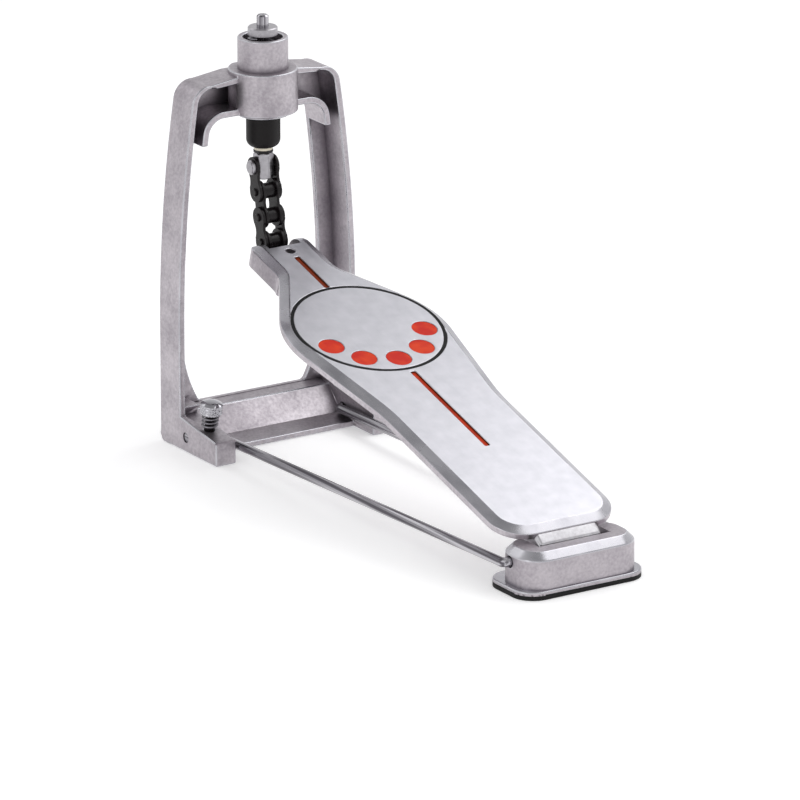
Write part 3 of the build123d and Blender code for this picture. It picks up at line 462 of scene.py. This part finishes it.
def round_edges(piece, width, worn, angle):
    """Round the outward edges of a casting or pressing and shade it smooth, inside its own box."""
    mesh = bmesh.new()
    mesh.from_mesh(piece.data)
    surface = BVHTree.FromBMesh(mesh)
    mark_edges(mesh, width, angle)
    mesh.to_mesh(piece.data)
    mesh.free()
    low = [min(point.co[k] for point in piece.data.vertices) for k in range(3)]
    high = [max(point.co[k] for point in piece.data.vertices) for k in range(3)]
    piece.data.materials.append(worn)
    apply_modifier(piece, "BEVEL", width=width, segments=BEVEL_SEGMENTS, limit_method="WEIGHT",
                   use_clamp_overlap=False, loop_slide=False, material=1)
    for point in piece.data.vertices:
        nearest, _, _, distance = surface.find_nearest(point.co)
        if distance > width * BEVEL_REACH:
            point.co = nearest
        point.co = [min(max(point.co[k], low[k]), high[k]) for k in range(3)]
    bpy.ops.object.mode_set(mode="EDIT")
    bpy.ops.mesh.select_all(action="SELECT")
    bpy.ops.mesh.remove_doubles(threshold=WELD)
    bpy.ops.mesh.dissolve_degenerate(threshold=WELD)
    bpy.ops.object.mode_set(mode="OBJECT")
    apply_modifier(piece, "WEIGHTED_NORMAL", keep_sharp=True, weight=FLAT_PULL)


def seat(piece, node_name):
    """The piece stands for the CAD node: it rides its body."""
    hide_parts(node_name)
    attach(piece, BODY_OF[node_name])


def soften_all(finishes):
    """The pieces with rounded edges, by the name of the node that each stands for."""
    pieces = {}
    for name, (width, worn, angle) in SOFT_EDGES.items():
        pieces[name] = merged_copy(name, f"{name}_softened")
        round_edges(pieces[name], width * MM, finishes[worn], radians(angle))
        seat(pieces[name], name)
    return pieces


def paint_faces(piece, material, chosen):
    """Give the faces that chosen(face) picks a material of their own."""
    piece.data.materials.append(material)
    index = len(piece.data.materials) - 1
    for face in piece.data.polygons:
        if chosen(face):
            face.material_index = index


def finish_board(board, finishes):
    """Polished bevels, an as-cast rim and underside, and paint on the inlays' recess walls."""
    level = Matrix.Rotation(-BOARD_SLOPE, 3, "X")
    least, most = BOARD_BEVEL
    paint_faces(board, finishes["polish"], lambda face: least < (level @ face.normal).z <= most)
    paint_faces(board, finishes["rim"], lambda face: (level @ face.normal).z <= least)
    for name, paint in (("stripe_inlays", "groove"), ("dot_inlays", "groove"),
                        ("ring_inlay", "ring")):
        inlay = BVHTree.FromPolygons([v.co for v in NODES[name].data.vertices],
                                     [p.vertices for p in NODES[name].data.polygons])
        paint_faces(board, finishes[paint],
                    lambda face: abs((level @ face.normal).z) < RECESS_WALL
                    and inlay.find_nearest(face.center, PAINT_CREEP)[0] is not None)


def finish_heel(heel, finishes):
    """Polished chamfer round the top and a polished flange."""
    low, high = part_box("heel_casting")
    least, most = HEEL_BEVEL
    paint_faces(heel, finishes["polish"], lambda face: least < face.normal.z < most
                and face.center.z > high.z - HEEL_CHAMFER)
    paint_faces(heel, finishes["polish"], lambda face: face.normal.z > FLANGE_TOP
                and face.center.z < low.z + HEEL_FLANGE)


# ------------------------------------------------------------------ knurled spur screws
SPUR_LEAN = radians(10.0)
SPUR_AXIS = Vector((0, -sin(SPUR_LEAN), cos(SPUR_LEAN)))
SPUR_HEAD = 7.0 * MM
HEAD_OVERLAP = 0.2 * MM                 # how far the shank runs up into the head
HEAD_BOTTOM_EDGE = 0.4 * MM
HEAD_CREASE = radians(18)
DOME = [(0.35, 0.25), (0.9, 0.55), (1.4, 0.5), (1.3, 0.22)]   # inwards and upwards, mm
KNURL_TEETH = 26
KNURL_ROWS = 4
KNURL_DEPTH = 0.3 * MM
RIM_DEPTH = 0.05 * MM                   # vertices this near the CAD head's top are its rim
NEAR = 0.01 * MM                        # closer in height than this is level
SIDEWAYS = 0.5                          # a normal that points up or down less than this
UPRIGHT = 0.9                           # and one that points up or down more than this


def pick(piece, chosen, kind="FACE"):
    """In edit mode, select just the faces or vertices that chosen() picks."""
    bpy.ops.mesh.select_mode(type=kind)
    bpy.ops.mesh.select_all(action="DESELECT")
    mesh = bmesh.from_edit_mesh(piece.data)
    for item in (mesh.faces if kind == "FACE" else mesh.verts):
        if chosen(item):
            item.select_set(True)
    mesh.select_flush_mode()
    bmesh.update_edit_mesh(piece.data)


def step(inwards, upwards):
    """Inset the selected face and move it up or down."""
    bpy.ops.mesh.inset(thickness=inwards, depth=0)
    bpy.ops.transform.translate(value=(0, 0, upwards))


def knurl(head, top, band):
    """Cut the side of a cylinder into rows of diamonds, each raised to a point."""
    mesh = bmesh.from_edit_mesh(head.data)
    bpy.ops.mesh.select_mode(type="EDGE")
    bpy.ops.mesh.select_all(action="DESELECT")
    for edge in mesh.edges:
        edge.select_set(abs(edge.verts[0].co.z - edge.verts[1].co.z) > band / 2)
    bpy.ops.mesh.subdivide(number_cuts=KNURL_ROWS - 1)
    for row in range(1, KNURL_ROWS, 2):
        row_height = top - band + band * row / KNURL_ROWS
        pick(head, lambda vert: abs(vert.co.z - row_height) < NEAR, "VERT")
        bpy.ops.transform.rotate(value=pi / KNURL_TEETH, orient_axis="Z",
                                 center_override=(0, 0, 0))
    pick(head, lambda face: abs(face.normal.z) < SIDEWAYS)
    bpy.ops.mesh.poke(offset=KNURL_DEPTH)


def knurled_head(name, radius, height):
    """A domed thumb head with a diamond-knurled band; its top is at the origin."""
    top = -sum(up for _, up in DOME) * MM
    band = height + top - HEAD_BOTTOM_EDGE
    bottom = top - band
    bpy.ops.object.select_all(action="DESELECT")
    bpy.ops.mesh.primitive_cylinder_add(vertices=KNURL_TEETH, radius=radius - KNURL_DEPTH,
                                        depth=band, location=(0, 0, top - band / 2))
    head = bpy.context.object
    head.name = name
    bpy.ops.object.transform_apply(location=True)
    bpy.ops.object.mode_set(mode="EDIT")
    knurl(head, top, band)
    for inwards, upwards in DOME:
        pick(head, lambda face: face.normal.z > UPRIGHT and len(face.verts) == KNURL_TEETH
             and face.calc_center_median().z > top - NEAR)
        step(inwards * MM, upwards * MM)
        top += upwards * MM
    pick(head, lambda face: face.normal.z < -UPRIGHT
         and face.calc_center_median().z < bottom + NEAR)
    step(HEAD_BOTTOM_EDGE, -HEAD_BOTTOM_EDGE)
    bpy.ops.object.mode_set(mode="OBJECT")
    return head


def spur_screw(side, finishes):
    """The whole screw: a knurled head over the plain shank and point that the CAD node has."""
    cad_name = f"spur_screw_{side}"
    points = [point.co for point in NODES[cad_name].data.vertices]
    top_height = max(point.dot(SPUR_AXIS) for point in points)
    rim = [point for point in points if point.dot(SPUR_AXIS) > top_height - RIM_DEPTH]
    top = Vector([(min(p[k] for p in rim) + max(p[k] for p in rim)) / 2 for k in range(3)])
    low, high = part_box(cad_name)

    screw = merged_copy(cad_name, f"knurled_spur_screw_{side}")
    bpy.ops.object.mode_set(mode="EDIT")
    bpy.ops.mesh.select_all(action="SELECT")
    bpy.ops.mesh.bisect(plane_co=top - SPUR_AXIS * (SPUR_HEAD - HEAD_OVERLAP), plane_no=SPUR_AXIS,
                        clear_outer=True, use_fill=True)
    bpy.ops.object.mode_set(mode="OBJECT")
    screw.data.materials.clear()
    screw.data.materials.append(finishes["chain"])

    head = knurled_head(f"head_{side}", (high.x - low.x) / 2, SPUR_HEAD)
    head.data.transform(Matrix.Translation(top) @ Matrix.Rotation(SPUR_LEAN, 4, "X"))
    head.data.materials.append(finishes["chrome"])
    head.data.update()
    only(head)
    bpy.ops.object.shade_smooth_by_angle(angle=HEAD_CREASE)
    screw.select_set(True)
    bpy.context.view_layer.objects.active = screw
    bpy.ops.object.join()
    seat(screw, cad_name)


# ------------------------------------------------------------------ coil springs
COIL_CREASE = radians(40)


def closing_spring(node_name):
    """The spring's own coils, in place of the CAD node's."""
    coil = merged_copy(node_name, f"{node_name}_coils")
    bpy.ops.object.shade_smooth_by_angle(angle=COIL_CREASE)
    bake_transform(coil)
    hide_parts(node_name)


set_camera()
set_studio()
finishes = make_finishes()
dress_nodes(finishes)
pieces = soften_all(finishes)
finish_board(pieces["footboard"], finishes)
finish_heel(pieces["heel_casting"], finishes)
closing_spring("return_spring")
for side in ("left", "right"):
    spur_screw(side, finishes)
    closing_spring(f"spur_spring_{side}")
